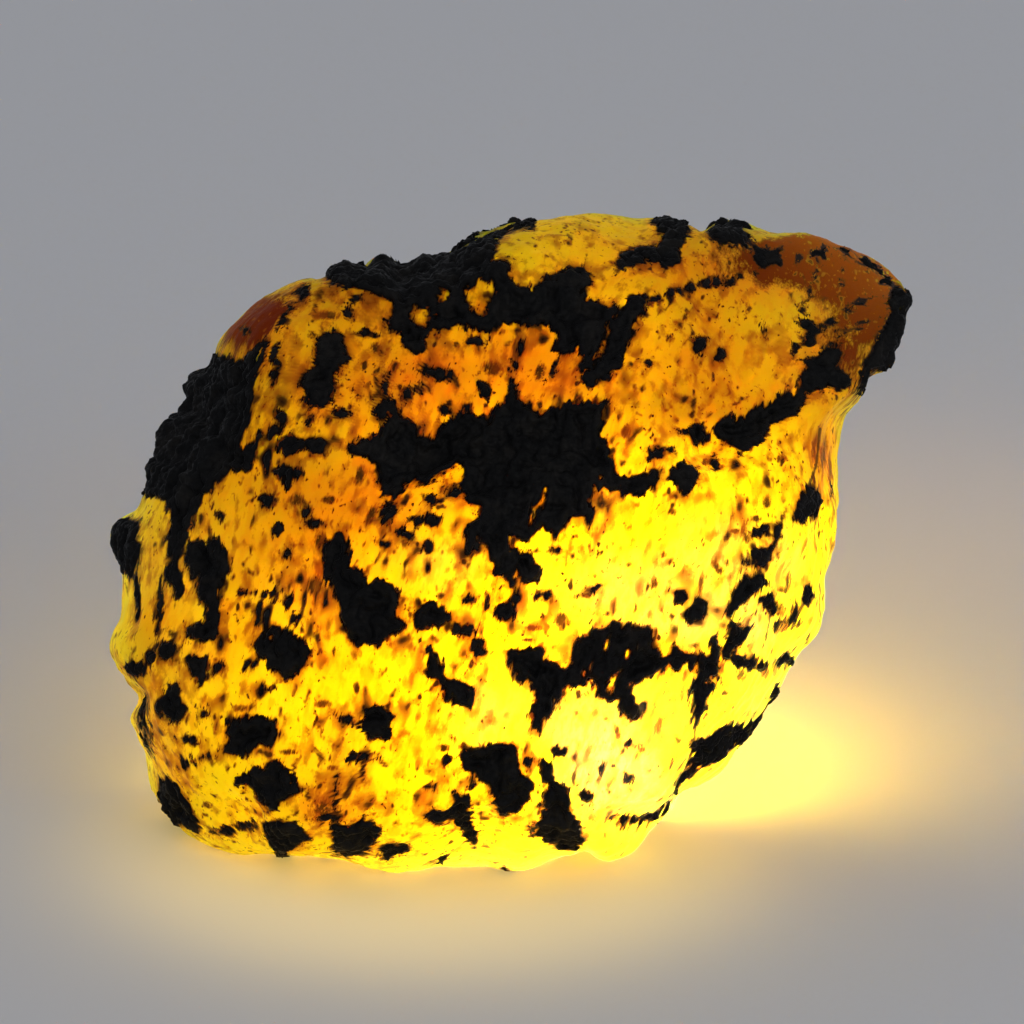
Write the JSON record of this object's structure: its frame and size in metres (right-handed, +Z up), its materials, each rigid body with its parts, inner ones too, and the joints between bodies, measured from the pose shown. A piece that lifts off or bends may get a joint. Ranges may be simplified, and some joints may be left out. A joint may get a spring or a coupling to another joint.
{
  "type": "rough sapphire",
  "caption": "Rough golden-yellow crystal lump with a pointed upper corner, patched with raised black mineral crust, resting on a flat at its base.",
  "frame": {"origin": "middle of the foot of the stone's bounding box, on the flat that it rests on", "axes": "+Z up as the stone rests, +X along its length towards the pointed upper corner, -Y out of its broad front face, which leans back 20 degrees"},
  "size_m": [0.0396, 0.0262, 0.0303],
  "materials": {
    "yellow_crystal": "rough, waxy, translucent when lit from behind, with black mineral crust in patches"
  },
  "bodies": {
    "root": {"rough_sapphire": "yellow_crystal"}
  },
  "joints": []
}
